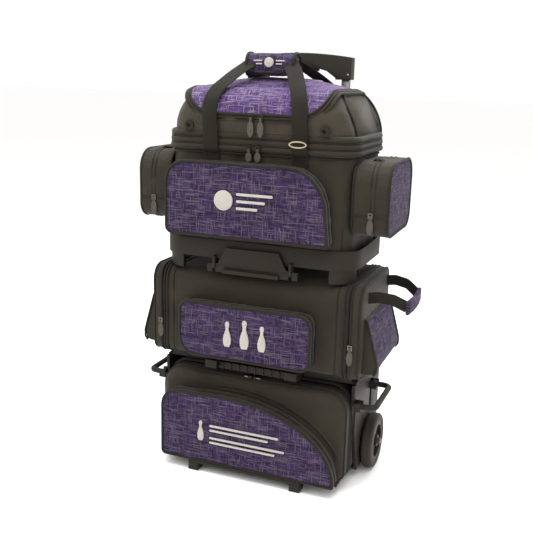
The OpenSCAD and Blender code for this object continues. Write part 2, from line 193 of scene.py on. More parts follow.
def weave_group():
    """Plain weave in three directions, so that it shows on a face that points any way."""
    tree, given, result = new_group(
        "weave", [("Vector", "NodeSocketVector"), ("Threads", "NodeSocketFloat")],
        [("Height", "NodeSocketFloat")])
    parts = add(tree, "ShaderNodeSeparateXYZ")
    wire(tree, given.outputs["Vector"], parts.inputs[0])
    waves = [math_node(tree, "SINE", times(tree, parts.outputs[i], given.outputs["Threads"]))
             for i in range(3)]
    total = math_node(tree, "ADD", math_node(tree, "ADD", waves[0], waves[1]), waves[2])
    wire(tree, total, result.inputs["Height"])
    return tree


def mottle_group():
    """Uneven tone and grain, as in worn cloth or moulded plastic."""
    tree, given, result = new_group(
        "mottle", [("Vector", "NodeSocketVector"), ("Size", "NodeSocketFloat")],
        [("Tone", "NodeSocketFloat"), ("Grain", "NodeSocketFloat")])
    for label, factor, detail in (("Tone", 1, 3), ("Grain", 40, 2)):
        field = add(tree, "ShaderNodeTexNoise")
        field.inputs["Detail"].default_value = detail
        wire(tree, given.outputs["Vector"], field.inputs["Vector"])
        wire(tree, times(tree, given.outputs["Size"], factor), field.inputs["Scale"])
        wire(tree, field.outputs["Fac"], result.inputs[label])
    return tree


HEATHER, WEAVE, MOTTLE = heather_group(), weave_group(), mottle_group()


def place_group(tree, group, **values):
    node = add(tree, "ShaderNodeGroup", node_tree=group)
    for key, value in values.items():
        wire(tree, value, node.inputs[key])
    return node


def new_material(name, roughness, specular=0.5, metallic=0.0, sheen=0.0):
    """A material with a plain shader; returns it, its tree, the shader and the texture coordinates."""
    material = bpy.data.materials.new(name)
    material.use_nodes = True
    tree = material.node_tree
    shader = tree.nodes["Principled BSDF"]
    for label, value in (("Roughness", roughness), ("Specular IOR Level", specular), ("Metallic", metallic),
                         ("Sheen Weight", sheen)):
        shader.inputs[label].default_value = value
    return material, tree, shader, add(tree, "ShaderNodeTexCoord")


def base_colour(tree, shader, share, dark, light):
    wire(tree, mix_colours(tree, share, (*dark, 1), (*light, 1)), shader.inputs["Base Color"])


def bump(tree, shader, height, distance, strength):
    node = add(tree, "ShaderNodeBump")
    node.inputs["Distance"].default_value = distance
    node.inputs["Strength"].default_value = strength
    wire(tree, height, node.inputs["Height"])
    wire(tree, node.outputs[0], shader.inputs["Normal"])


def cloth(name, dark, light, threads=2600, sheen=0.08, depth=0.25):
    """Woven cloth of one colour, uneven between dark and light."""
    material, tree, shader, where = new_material(name, 0.72, 0.22, sheen=sheen)
    tone = place_group(tree, MOTTLE, Vector=where.outputs["Object"], Size=9.0)
    base_colour(tree, shader, tone.outputs["Tone"], dark, light)
    weave = place_group(tree, WEAVE, Vector=where.outputs["Object"], Threads=threads)
    rough = math_node(tree, "ADD", weave.outputs["Height"], times(tree, tone.outputs["Grain"], 3))
    bump(tree, shader, rough, depth * MM, 0.5)
    return material


def heathered(name, u, v, tone=1.0):
    """The purple melange. u and v say how much of x, y and z each thread direction runs along. tone scales all its
    colours, for a copy painted lighter or darker as painted light or shade.
    """
    deep, shadow, pale_thread = [(*(tone * c for c in colour), 1) for colour in (
        (0.030, 0.0155, 0.054), (0.0105, 0.0052, 0.020), (0.105, 0.085, 0.112))]
    material, tree, shader, where = new_material(name, 0.8, 0.15, sheen=0.03)
    parts = add(tree, "ShaderNodeSeparateXYZ")
    wire(tree, where.outputs["Object"], parts.inputs[0])
    directions = []
    for weights in (u, v):
        terms = [times(tree, parts.outputs[i], w) for i, w in enumerate(weights) if w]
        total = terms[0]
        for term in terms[1:]:
            total = math_node(tree, "ADD", total, term)
        directions.append(total)
    threads = place_group(tree, HEATHER, U=directions[0], V=directions[1])
    ground = mix_colours(tree, threads.outputs["Dark"], deep, shadow)
    pale = times(tree, threads.outputs["Pale"], 0.62)
    wire(tree, mix_colours(tree, pale, ground, pale_thread), shader.inputs["Base Color"])
    bump(tree, shader, threads.outputs["Height"], 0.3 * MM, 0.7)
    return material


def ribbed_webbing(name, dark, light):
    """Webbing with cross ribs every 1.6 mm; its UV map runs across and along it, in metres."""
    material, tree, shader, where = new_material(name, 0.8, 0.2, sheen=0.03)
    parts = add(tree, "ShaderNodeSeparateXYZ")
    wire(tree, where.outputs["UV"], parts.inputs[0])
    ribs = math_node(tree, "SINE", times(tree, parts.outputs[1], 2 * math.pi / (1.6 * MM)))
    lengthwise = math_node(tree, "SINE", times(tree, parts.outputs[0], 2 * math.pi / (1.2 * MM)))
    height = math_node(tree, "MAXIMUM", ribs, lengthwise)
    tone = place_group(tree, MOTTLE, Vector=where.outputs["Object"], Size=14.0)
    # The colour follows the ribs as well as the uneven tone: painted shade in the troughs between ribs, painted light
    # on their crests.
    shade = math_node(tree, "ADD", times(tree, ribs, 0.25), tone.outputs["Tone"])
    base_colour(tree, shader, shade, dark, light)
    bump(tree, shader, height, 0.3 * MM, 0.8)
    return material


def moulded(name, dark, light, roughness=0.5, grain=0.12, size=9.0, metallic=0.0):
    """Moulded plastic or metal: uneven tone, fine grain and slightly uneven gloss."""
    material, tree, shader, where = new_material(name, roughness, 0.24, metallic)
    tone = place_group(tree, MOTTLE, Vector=where.outputs["Object"], Size=size)
    base_colour(tree, shader, tone.outputs["Tone"], dark, light)
    gloss = times(tree, math_node(tree, "SUBTRACT", tone.outputs["Tone"], 0.5), 0.3)
    wire(tree, math_node(tree, "ADD", gloss, roughness), shader.inputs["Roughness"])
    bump(tree, shader, tone.outputs["Grain"], grain * MM, 0.6)
    return material


def embroidery(name, colour):
    """Satin stitch: fine slanted ridges of shiny thread."""
    material, tree, shader, where = new_material(name, 0.45, sheen=0.4)
    parts = add(tree, "ShaderNodeSeparateXYZ")
    wire(tree, where.outputs["Object"], parts.inputs[0])
    slant = math_node(tree, "ADD", parts.outputs[0], times(tree, parts.outputs[2], 0.5))
    ridges = math_node(tree, "SINE", times(tree, slant, 2 * math.pi / (1.1 * MM)))
    # The colour follows the ridges: painted shade in the grooves between stitches, lighter on their crests.
    shade = math_node(tree, "ADD", times(tree, ridges, 0.3), 0.5)
    base_colour(tree, shader, shade, [0.7 * c for c in colour], colour)
    bump(tree, shader, ridges, 0.25 * MM, 0.8)
    return material


def floor_paint():
    material, tree, shader, where = new_material("floor_paint", 0.9)
    tone = place_group(tree, MOTTLE, Vector=where.outputs["Object"], Size=2.0)
    base_colour(tree, shader, tone.outputs["Tone"], (0.955, 0.95, 0.94), (0.965, 0.96, 0.95))
    return material


BLACK = cloth("black_cloth", (0.0115, 0.0088, 0.0045), (0.026, 0.0205, 0.0115))
# The hood's cloth is the black cloth painted about twice as light: painted light from above on its slanted faces.
HOOD_LIT_CLOTH = cloth("hood_cloth_painted_light", (0.022, 0.0175, 0.0105), (0.048, 0.039, 0.0255))
LINING = cloth("lining", (0.05, 0.05, 0.052), (0.08, 0.08, 0.083), threads=3200)
PIPING = cloth("piping_cloth", (0.0065, 0.005, 0.0028), (0.014, 0.011, 0.0065), threads=4200, sheen=0.05)
FOAM = cloth("foam", (0.06, 0.06, 0.065), (0.1, 0.1, 0.105), threads=900, depth=0.8)
PURPLE_FRONT = heathered("purple_front", (1, 0, 0), (0, 0, 1))
PURPLE_SIDE = heathered("purple_side", (0, 1, 0), (0, 0, 1))
# The lid's purple is the same melange painted 2.3 times as light: painted light from above on its top face.
PURPLE_TOP_LIT = heathered("purple_top_painted_light", (1, 0, 0), (0, 1, 1), tone=2.3)
WEBBING = ribbed_webbing("webbing", (0.006, 0.005, 0.003), (0.017, 0.0138, 0.008))
PLASTIC = moulded("shell_plastic", (0.0075, 0.0058, 0.0027), (0.0165, 0.013, 0.0072), roughness=0.6)
GRIP = moulded("grip_plastic", (0.0095, 0.0074, 0.0038), (0.018, 0.0143, 0.0085), roughness=0.6)
TYRE = moulded("tyre_rubber", (0.020, 0.0165, 0.011), (0.036, 0.030, 0.021), roughness=0.65, grain=0.2)
RIM = moulded("rim_plastic", (0.010, 0.008, 0.005), (0.022, 0.018, 0.012))
PULL = moulded("pull_rubber", (0.045, 0.039, 0.029), (0.07, 0.061, 0.047), roughness=0.55, size=30.0)
METAL = moulded("plated_steel", (0.09, 0.08, 0.065), (0.16, 0.145, 0.12), roughness=0.35, metallic=0.9)
TUBE = moulded("anodised_tube", (0.20, 0.195, 0.19), (0.27, 0.265, 0.255), roughness=0.38, metallic=0.9,
               size=20.0)
BRASS = moulded("old_brass", (0.42, 0.36, 0.22), (0.6, 0.53, 0.36), roughness=0.3, metallic=0.9, size=60.0)
CREAM = embroidery("cream_thread", (0.50, 0.47, 0.42))


# ---- mesh helpers ----

def keep(bm, name, *materials):
    """Turns a bmesh into a smooth-shaded object at the origin."""
    mesh = bpy.data.meshes.new(name)
    bm.to_mesh(mesh)
    bm.free()
    for material in materials:
        mesh.materials.append(material)
    mesh.shade_smooth()
    piece = bpy.data.objects.new(name, mesh)
    bpy.context.scene.collection.objects.link(piece)
    return piece


def outward(piece, centre=(0, 0, 0.5)):
    """Turns an open shell's faces away from the centre."""
    middle = Vector(centre)
    facing = sum((f.center - middle).normalized().dot(f.normal) * f.area for f in piece.data.polygons)
    if facing < 0:
        piece.data.flip_normals()
    return piece


def shell(bm, name, centre, *materials):
    """An open shell whose faces look away from the centre."""
    bmesh.ops.recalc_face_normals(bm, faces=bm.faces)
    return outward(keep(bm, name, *materials), centre)


def walled(piece, thickness, lining=1):
    """Gives an open shell its thickness on the inside, in the next material of its list if it is lined."""
    wall = piece.modifiers.new("wall", "SOLIDIFY")
    wall.thickness = thickness
    wall.offset = -1
    wall.material_offset = lining
    return piece


def settle(piece, body, slot, *nodes):
    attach(piece, body)
    if nodes:
        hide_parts(*nodes)
    return piece


def apply_modifiers(piece):
    """Bakes the modifiers into the mesh."""
    bpy.context.view_layer.update()
    graph = bpy.context.evaluated_depsgraph_get()
    mesh = bpy.data.meshes.new_from_object(piece.evaluated_get(graph))
    piece.modifiers.clear()
    piece.data = mesh
    mesh.shade_smooth()
    return piece


def join(name, pieces):
    """One object from several, with one material slot each."""
    bm = bmesh.new()
    materials = []
    for piece in pieces:
        start = len(bm.faces)
        bm.from_mesh(piece.data)
        bm.faces.ensure_lookup_table()
        shift = {i: len(materials) + i for i in range(max(1, len(piece.data.materials)))}
        for face in bm.faces[start:]:
            face.material_index = shift[face.material_index]
        materials += list(piece.data.materials)
        bpy.data.objects.remove(piece)
    return keep(bm, name, *materials)


def arc(cx, cy, r, start, end, count=8):
    angles = [math.radians(start + (end - start) * i / count) for i in range(count + 1)]
    return [(cx + r * math.cos(a), cy + r * math.sin(a)) for a in angles]


def rounded(x0, y0, x1, y1, radii, count=8):
    """Rectangle with its own radius at the bottom left, bottom right, top right and top left."""
    a, b, c, d = radii
    return (arc(x0 + a, y0 + a, a, 180, 270, count) + arc(x1 - b, y0 + b, b, 270, 360, count)
            + arc(x1 - c, y1 - c, c, 0, 90, count) + arc(x0 + d, y1 - d, d, 90, 180, count))


def spread(points, step, closed=True):
    """The same line with its points evenly spaced, about step apart."""
    path = [Vector(p) for p in points] + ([Vector(points[0])] if closed else [])
    lengths = [(b - a).length for a, b in zip(path, path[1:])]
    total = sum(lengths)
    count = max(3, round(total / step))
    result, leg, walked = [], 0, 0.0
    for i in range(count if closed else count + 1):
        target = total * i / count
        while leg < len(lengths) - 1 and walked + lengths[leg] < target:
            walked += lengths[leg]
            leg += 1
        share = (target - walked) / max(lengths[leg], 1e-9)
        result.append(path[leg].lerp(path[leg + 1], min(1, share)))
    return result


def loft(rings, start_cap=False, end_cap=False):
    """Skin through closed rings of equal count: the first ring's edges are extruded to each next one."""
    bm = bmesh.new()
    verts = [bm.verts.new(p) for p in rings[0]]
    edges = [bm.edges.new(pair) for pair in zip(verts, verts[1:] + verts[:1])]
    if start_cap:
        bm.faces.new(verts)
    for ring in rings[1:]:
        made = bmesh.ops.extrude_edge_only(bm, edges=edges)["geom"]
        fresh = {g for g in made if isinstance(g, bmesh.types.BMVert)}
        verts = [next(e.other_vert(v) for e in v.link_edges if e.other_vert(v) in fresh) for v in verts]
        for vert, place in zip(verts, ring):
            vert.co = place
        edges = [g for g in made if isinstance(g, bmesh.types.BMEdge) and all(v in fresh for v in g.verts)]
    if end_cap:
        bm.faces.new(verts)
    if start_cap and end_cap:
        bmesh.ops.recalc_face_normals(bm, faces=bm.faces)
    return bm


def tube(points, radius, material, closed=True, name="tube"):
    """Round piping along a line."""
    data = bpy.data.curves.new(name, "CURVE")
    data.dimensions = "3D"
    data.bevel_depth = radius
    data.bevel_resolution = 2
    data.use_fill_caps = not closed
    line = data.splines.new("POLY")
    line.points.add(len(points) - 1)
    for point, place in zip(line.points, points):
        point.co = (*place, 1)
    line.use_cyclic_u = closed
    holder = bpy.data.objects.new(name, data)
    bpy.context.scene.collection.objects.link(holder)
    bpy.context.view_layer.update()
    mesh = bpy.data.meshes.new_from_object(holder)
    bpy.data.objects.remove(holder)
    mesh.materials.clear()
    mesh.materials.append(material)
    mesh.shade_smooth()
    piece = bpy.data.objects.new(name, mesh)
    bpy.context.scene.collection.objects.link(piece)
    return piece


def ribbon(points, across, width, thick, material, name="ribbon"):
    """Flat strip along a line. across is the direction of its width, or one direction for each point."""
    path = [Vector(p) for p in points]
    sides = [Vector(a) for a in across] if isinstance(across, list) else [Vector(across)] * len(path)
    rings = []
    for i, place in enumerate(path):
        along = (path[min(i + 1, len(path) - 1)] - path[max(i - 1, 0)]).normalized()
        side = (sides[i] - along * sides[i].dot(along)).normalized()
        out = side.cross(along)
        edge = thick * 0.5
        section = [(-1, -0.5), (-1, 0.5), (-0.9, 1), (0, 1.15), (0.9, 1), (1, 0.5), (1, -0.5), (0.9, -1),
                   (-0.9, -1)]
        rings.append([place + side * (a * width / 2) + out * (b * edge) for a, b in section])
    bm = loft(rings, start_cap=True, end_cap=True)
    layer = bm.loops.layers.uv.new("UVMap")
    lengths = [0.0]
    for a, b in zip(path, path[1:]):
        lengths.append(lengths[-1] + (b - a).length)
    for face in bm.faces:
        for loop in face.loops:
            near = min(range(len(path)), key=lambda i: (path[i] - loop.vert.co).length)
            loop[layer].uv = ((loop.vert.co - path[near]).dot(sides[near]), lengths[near])
    return keep(bm, name, material)


def stitches(points, material):
    """A row of short raised threads along a closed line."""
    bm = bmesh.new()
    path = spread(points, STITCH_STEP)
    for a, b in zip(path, path[1:] + path[:1]):
        along = (b - a).normalized()
        turn = along.to_track_quat("X", "Z").to_matrix().to_4x4()
        size = Matrix.Diagonal((STITCH_LENGTH, STITCH_WIDTH, STITCH_WIDTH, 1))
        made = bmesh.ops.create_cube(bm, size=1, matrix=Matrix.Translation((a + b) / 2) @ turn @ size)
        edges = list({e for v in made["verts"] for e in v.link_edges})
        bmesh.ops.bevel(bm, geom=edges, offset=STITCH_WIDTH * 0.3, segments=1, profile=0.5, affect="EDGES",
                        material=-1)
    return keep(bm, "stitches", material)


def crumple(piece, depth, size, seed, stretch=(1, 1, 1), rest=None):
    """Moves points along their normals by smooth noise, as in cloth. rest gives each place its share."""
    mesh = piece.data
    shift = Vector((seed * 3.7, seed * 1.3, seed * 2.1))
    moves = []
    for vert in mesh.vertices:
        place = Vector(a * b for a, b in zip(vert.co, stretch)) / size + shift
        height = noise.noise(place) + 0.5 * noise.noise(place * 2.3)
        moves.append(vert.normal * (height * depth * (rest(vert.co) if rest else 1)))
    for vert, move in zip(mesh.vertices, moves):
        vert.co += move
    return piece


def softened(node, material, body, slot, width=1.5 * MM, segments=2):
    """A hard CAD piece with its edges rounded."""
    bm = bmesh.new()
    bm.from_mesh(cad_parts[node].data)
    bmesh.ops.remove_doubles(bm, verts=bm.verts, dist=1e-5)
    bmesh.ops.dissolve_limit(bm, angle_limit=math.radians(1), verts=bm.verts, edges=bm.edges)
    piece = keep(bm, node + "_rounded", material)
    edge = piece.modifiers.new("edge", "BEVEL")
    edge.width = width
    edge.segments = segments
    edge.limit_method = "ANGLE"
    edge.angle_limit = math.radians(35)
    edge.harden_normals = True
    apply_modifiers(piece)
    return settle(piece, body, slot, node)


# ---- stuffed pockets ----

def inflate(piece, pinned, pressure, cap):
    """Blows a closed mesh up as cloth whose seam stays, and keeps every point within cap of its start."""
    group = piece.vertex_groups.new(name="seam")
    group.add([v.index for v in piece.data.vertices if pinned(v.co)], 1, "REPLACE")
    start = [v.co.copy() for v in piece.data.vertices]
    modifier = piece.modifiers.new("cloth", "CLOTH")
    modifier.settings.use_pressure = True
    modifier.settings.uniform_pressure_force = pressure
    modifier.settings.effector_weights.gravity = 0
    modifier.settings.vertex_group_mass = "seam"
    modifier.settings.quality = 3
    modifier.point_cache.frame_end = 20
    scene = bpy.context.scene
    for number in range(1, 17):
        scene.frame_set(number)
    apply_modifiers(piece)
    for vert, place in zip(piece.data.vertices, start):
        move = vert.co - place
        if move.length > cap:
            vert.co = place + move * (cap / move.length)
    scene.frame_set(1)


def remeshed(bm, name, voxel=VOXEL):
    """An even mesh of the same closed shape."""
    piece = keep(bm, name)
    modifier = piece.modifiers.new("even", "REMESH")
    modifier.mode = "VOXEL"
    modifier.voxel_size = voxel
    modifier.use_smooth_shade = True
    return apply_modifiers(piece)


def finish_pocket(piece, name, materials, is_face, depth, size, seed):
    smooth = piece.modifiers.new("smooth", "SMOOTH")
    smooth.iterations = 3
    finer = piece.modifiers.new("finer", "SUBSURF")
    finer.levels = finer.render_levels = 1
    apply_modifiers(piece)
    piece.name = name
    piece.data.materials.clear()
    for material in materials:
        piece.data.materials.append(material)
    for face in piece.data.polygons:
        face.material_index = 0 if is_face(face.center) else 1
    crumple(piece, depth, size, seed)
    return piece


def on_surface(piece, points, out, lift):
    """The points moved along out onto the piece's outer face, and lift above it."""
    mesh = piece.data
    tree = BVHTree.FromPolygons([v.co for v in mesh.vertices], [list(p.vertices) for p in mesh.polygons])
    hits = [(p, tree.ray_cast(p + out * 0.05, -out, 0.1)[0]) for p in points]
    return [(hit or p) + out * lift for p, hit in hits]


def pocket(name, outline, origin, u, v, out, depth, face, seed, puff=6 * MM):
    """Stuffed pocket on a wall. outline is in metres along u and v, and out points away from the wall."""
    def place(a, b, d):
        return origin + u * a + v * b + out * d

    rim = depth - 3 * MM
    line = spread(outline, 6 * MM)
    bm = loft([[place(p[0], p[1], d) for p in line] for d in (0, rim)], start_cap=True, end_cap=True)
    piece = remeshed(bm, name)

    def height(co):
        return (co - origin).dot(out)

    def at_edge(co):
        flat = Vector(((co - origin).dot(u), (co - origin).dot(v)))
        return min((flat - p).length_squared for p in line[::2]) < (6 * MM) ** 2

    inflate(piece, lambda co: height(co) < 4 * MM or (height(co) > rim - 5 * MM and at_edge(co)), 4.0, puff)
    finish_pocket(piece, name, (face, BLACK), lambda co: height(co) > rim - 1.5 * MM, 1.1 * MM, 22 * MM, seed)
    middle = sum(line, Vector((0, 0))) / len(line)
    edge = [p + (middle - p).normalized() * 1.8 * MM for p in line]
    piping = [tube([place(p[0], p[1], rim - 0.8 * MM) for p in edge], 3.2 * MM, PIPING),
              tube([place(p[0], p[1], rim * 0.62) for p in line], 1.5 * MM, PIPING),
              tube([place(p[0], p[1], rim * 0.50) for p in line], 1.5 * MM, PIPING),
              tube([place(p[0], p[1], 1 * MM) for p in line], 2.2 * MM, PIPING)]
    inner = spread([(p[0] * 0.975 + sum(q[0] for q in line) / len(line) * 0.025,
                     p[1] * 0.95 + sum(q[1] for q in line) / len(line) * 0.05) for p in line], 6 * MM)
    seam = on_surface(piece, [place(p[0], p[1], rim) for p in inner], out, 0.3 * MM)
    thread = stitches(seam, PIPING)
    return piece, join(name + "_piping", piping + [thread])


def mark(name, shapes, origin, u, v, out, lift, body):
    """Embroidered patch: flat outlines in metres along u and v, raised a little from the cloth."""
    bm = bmesh.new()
    for shape in shapes:
        verts = [bm.verts.new(origin + u * p[0] + v * p[1] + out * lift) for p in shape]
        face = bm.faces.new(verts)
        made = bmesh.ops.extrude_face_region(bm, geom=[face])["geom"]
        top = [g for g in made if isinstance(g, bmesh.types.BMVert)]
        bmesh.ops.translate(bm, verts=top, vec=out * (3.2 * MM))
    bmesh.ops.recalc_face_normals(bm, faces=bm.faces)
    piece = keep(bm, name, CREAM)
    edge = piece.modifiers.new("edge", "BEVEL")
    edge.width = 0.5 * MM
    edge.segments = 2
    edge.limit_method = "ANGLE"
    apply_modifiers(piece)
    return settle(piece, body, "purple_fabric")


def pin_shape(cx, cy, height):
    """Outline of a bowling pin standing at cx, cy."""
    half = [(0.09, 0), (0.145, 0.12), (0.16, 0.3), (0.12, 0.5), (0.06, 0.66), (0.055, 0.76), (0.085, 0.87),
            (0.07, 0.96), (0.03, 1)]
    right = [(cx + a * height, cy + b * height) for a, b in half]
    return right + [(2 * cx - a, b) for a, b in reversed(right)]


def bar(x0, x1, y, thick):
    return rounded(x0, y, x1, y + thick, [thick * 0.45] * 4, 3)


def mm(points):
    return [(a * MM, b * MM) for a, b in points]


def front_pocket(name, outline, low, high, body, node, seed, shapes, puff=6 * MM):
    """Stuffed pocket in a CAD box on a front wall, with its mark. outline and shapes are in millimetres."""
    origin = at(0, high.y, 0)
    depth = (high.y - low.y) * MM
    piece, piping = pocket(name, mm(outline), origin, RIGHT, UP, -BACK, depth, PURPLE_FRONT, seed, puff)
    settle(piece, body, "purple_fabric", node)
    settle(piping, body, "black_fabric")
    mark(name + "_mark", [mm(s) for s in shapes], origin, RIGHT, UP, -BACK, depth + 0.5 * MM, body)


# ---- top tote ----

def top_tote():
    low, high = in_mm(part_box("top_tote_body"))
    plan = rounded(low.x, low.y, high.x, high.y, [54, 54, 36, 36])
    levels = [low.z + (high.z - low.z) * i / 44 for i in range(45)]

    def ring(z):
        share = (z - low.z) / (high.z - low.z)
        swell = 1 + 0.008 * math.sin(math.pi * share)
        return [at(p[0] * swell, p[1] * swell, z) for p in spread(plan, 5.5)]

    bm = loft([ring(z) for z in levels], start_cap=True)
    piece = shell(bm, "top_tote_cloth", (0, 0, 0.67), BLACK, LINING)
    crumple(piece, 3.2 * MM, 42 * MM, 1, stretch=(1, 1, 0.4),
            rest=lambda co: min(1, (co.z / MM - low.z) / 60))
    apply_modifiers(walled(piece, 4 * MM))
    settle(piece, "top_tote", "black_fabric", "top_tote_body")

    seams = []
    for x, y in ((low.x + 18, low.y + 14), (high.x - 18, low.y + 14),
                 (high.x - 12, high.y - 10), (low.x + 12, high.y - 10)):
        line = [at(x, y, z) for z in levels[8:]]
        seams.append(tube(line, 2.0 * MM, PIPING, closed=False))
    rim = [at(p[0] * 1.006, p[1] * 1.006, high.z - 4) for p in spread(plan, 8)]
    seams.append(tube(rim, 2.6 * MM, PIPING))
    settle(join("top_tote_seams", seams), "top_tote", "black_fabric")


def top_pocket():
    low, high = in_mm(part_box("top_front_pocket"))
    curve = [(92 + 92 * math.sin(math.radians(a)), 672 + 102 * math.cos(math.radians(a))) for a in range(90, -1, -9)]
    outline = arc(low.x + 16, low.z + 16, 16, 180, 270, 4) + [(high.x, low.z)] + curve
    outline += arc(low.x + 50, high.z - 50, 50, 90, 180, 6)
    ball = arc(-58, 690, 23, 0, 348, 29)
    stripes = [bar(-26, 62, 703, 6), bar(-26, 44, 687, 6), bar(-26, 26, 671, 6)]
    front_pocket("top_pocket", outline, low, high, "top_tote", "top_front_pocket", 2, [ball] + stripes)


def side_pockets():
    for side, sign in SIDES.items():
        low, high = in_mm(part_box("side_pocket_" + side))
        outline = mm(rounded(low.y, low.z, high.y, high.z, [36, 36, 48, 48]))
        inner = min(abs(low.x), abs(high.x))
        outer = max(abs(low.x), abs(high.x))
        origin = at(sign * inner, 0, 0)
        depth = (outer - inner) * MM
        name = "side_pocket_cloth_" + side
        piece, piping = pocket(name, outline, origin, BACK, UP, RIGHT * sign, depth, PURPLE_SIDE,
                               3 + sign, 8 * MM)
        settle(piece, "top_tote", "purple_fabric", "side_pocket_" + side)
        seam = spread([at(sign * (inner + 4 + i * 4), low.y - 1.5, 672) for i in range(19)], 8 * MM, False)
        rows = [piping, tube(seam, 1.4 * MM, PIPING, closed=False)]
        settle(join("side_pocket_trim_" + side, rows), "top_tote", "black_fabric")
        tab = [at(sign * (inner + 30 + i * 6), -60, high.z + 2 + 3 * math.sin(i)) for i in range(5)]
        settle(ribbon(tab, BACK, 20 * MM, 2 * MM, WEBBING, "side_pocket_tab_" + side), "top_tote", "webbing")


def hood():
    """Upper compartment: a band of three ridges, a barrel-shaped shell and piped end panels."""
    band_low, band_high = in_mm(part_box("upper_shell"))
    back_high = Vector(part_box("upper_back_panel")[1]) / MM
    fold = band_high.y * MM
    band_top = 842
    half = 220
    plan = spread(rounded(band_low.x, -142, band_high.x, back_high.y, [56, 56, 38, 38]), 6)
    heights = [band_low.z + (band_top - band_low.z) * i / 24 for i in range(25)]

    def band_ring(z):
        share = (z - band_low.z) / (band_top - band_low.z)
        ridge = abs(math.sin(3 * math.pi * share)) ** 0.5
        scale = 0.976 + 0.024 * ridge - 0.012 * share
        return [at(p[0] * scale, p[1] * scale, z) for p in plan]

    profile = [(-137, band_top - 6), (-144, 868)] + arc(-96, 887, 50, 180, 90, 10) + arc(82, 887, 50, 90, 0, 10)
    profile += [(back_high.y - 1, band_top - 6)]
    profile = spread(profile, 6, closed=False)
    back, corner = back_high.y, 58

    def dome_ring(x):
        over = max(0, abs(x) - (half - corner))
        cut = corner - math.sqrt(max(0, corner ** 2 - over ** 2)) if over else 0
        ring = []
        for y, z in profile:
            squeeze = 1 - 0.8 * cut / (back - profile[0][0])
            lean = 1 - 0.19 * (max(0, z - band_top) / 95) ** 1.5
            drop = 7 * (over / corner) ** 2 * max(0, (z - 880) / 57)
            ring.append(at(x * lean, back + (y - back) * squeeze, z - drop))
        return ring

    stations = [-half + half * 2 * i / 88 for i in range(89)]
    ends = {sign: dome_ring(sign * half) for sign in (1, -1)}
    # The hood's shell and end panels take the black cloth painted lighter, as painted light from above.
    dome = shell(loft([dome_ring(x) for x in stations]), "hood_shell", (0, 0, 0.86), HOOD_LIT_CLOTH, LINING)
    crumple(dome, 2.6 * MM, 40 * MM, 7)
    corner_right = arc(106, -85, 61, -78, 0)
    cutter_plan = mm([(-118, -175), (118, -175)] + corner_right + arc(154, 92, 12, 0, 90)
                     + arc(-154, 92, 12, 90, 180) + arc(-106, -85, 61, 180, 258))
    cutter_rings = [[Vector((*p, z * MM)) for p in cutter_plan] for z in (884, 1000)]
    cutter = keep(loft(cutter_rings, start_cap=True, end_cap=True), "cutter")
    hole = walled(dome, 4 * MM).modifiers.new("hole", "BOOLEAN")
    hole.operation = "DIFFERENCE"
    hole.object = cutter
    apply_modifiers(dome)
    bpy.data.objects.remove(cutter)

    panels, pipings = [], []
    for sign, ring in ends.items():
        panel = bmesh.new()
        panel.faces.new([panel.verts.new(p + RIGHT * sign * 0.5 * MM) for p in ring])
        for _ in range(5):
            middle_face = [f for f in panel.faces if len(f.verts) > 6]
            bmesh.ops.inset_region(panel, faces=middle_face, thickness=7 * MM, depth=0, use_even_offset=True)
        bmesh.ops.recalc_face_normals(panel, faces=panel.faces)
        for vert in panel.verts:
            away = min((vert.co - p).length for p in ring)
            vert.co.x += sign * 5 * MM * min(1, away / (26 * MM))
        piece = keep(panel, "panel", HOOD_LIT_CLOTH)
        wall = piece.modifiers.new("wall", "SOLIDIFY")
        wall.thickness = 3 * MM
        wall.offset = -1 if piece.data.polygons[0].normal.x * sign > 0 else 1
        panels.append(apply_modifiers(piece))
        pipings.append(tube([p + RIGHT * sign * 1.5 * MM for p in ring], 2.8 * MM, PIPING, closed=False))
    band = shell(loft([band_ring(z) for z in heights]), "band", (0, 0, 0.82), BLACK)
    apply_modifiers(walled(band, 4 * MM, lining=0))
    for ridge in (1 / 3, 2 / 3):
        z = band_low.z + (band_top - band_low.z) * ridge
        pipings.append(tube([at(p[0] * 0.987, p[1] * 0.987, z) for p in plan], 1.2 * MM, PIPING))
    divider = loft([[at(p[0] * 0.965, p[1] * 0.965, z) for p in plan] for z in (836, 839)],
                   start_cap=True, end_cap=True)
    whole = join("hood_whole", [dome, band] + panels + pipings + [keep(divider, "divider", LINING)])
    split_at_fold(whole, fold)


def split_at_fold(whole, fold):
    """The part in front of the fold line opens with the hood; the part behind stays on the tote."""
    for name, body, node, clear_outer in (("hood_cloth", "hood", "upper_shell", True),
                                          ("hood_back_cloth", "top_tote", "upper_back_panel", False)):
        bm = bmesh.new()
        bm.from_mesh(whole.data)
        bmesh.ops.bisect_plane(bm, geom=bm.verts[:] + bm.edges[:] + bm.faces[:], plane_co=(0, fold, 0),
                               plane_no=(0, 1, 0), clear_outer=clear_outer, clear_inner=not clear_outer)
        cut = [e for e in bm.edges if e.is_boundary and all(abs(v.co.y - fold) < 1e-6 for v in e.verts)]
        bmesh.ops.holes_fill(bm, edges=cut)
        piece = keep(bm, name, *whole.data.materials)
        settle(piece, body, "black_fabric", node)
    bpy.data.objects.remove(whole)


LID_STEP = 3
LID_PROFILE = spread([(-147.5, 882)] + arc(-96, 887, 51.5, 180, 90, 16) + arc(82, 887, 51.5, 90, 59, 6),
                     LID_STEP, closed=False)


def lid_point(x, t, h):
    """Place on the lid: x across it, t along its profile from the front edge, h above its surface."""
    whole = min(max(int(t / LID_STEP), 0), len(LID_PROFILE) - 2)
    a, b = LID_PROFILE[whole], LID_PROFILE[whole + 1]
    step = (b - a) / (b - a).length
    y, z = a + step * (t - whole * LID_STEP)
    crown = max(0, 23 - 42 * (abs(y) / 118) ** 2.2) * (1 - min(1, abs(x) / 172) ** 2.6)
    return at(x, y - step.y * h, z + step.x * h + crown)


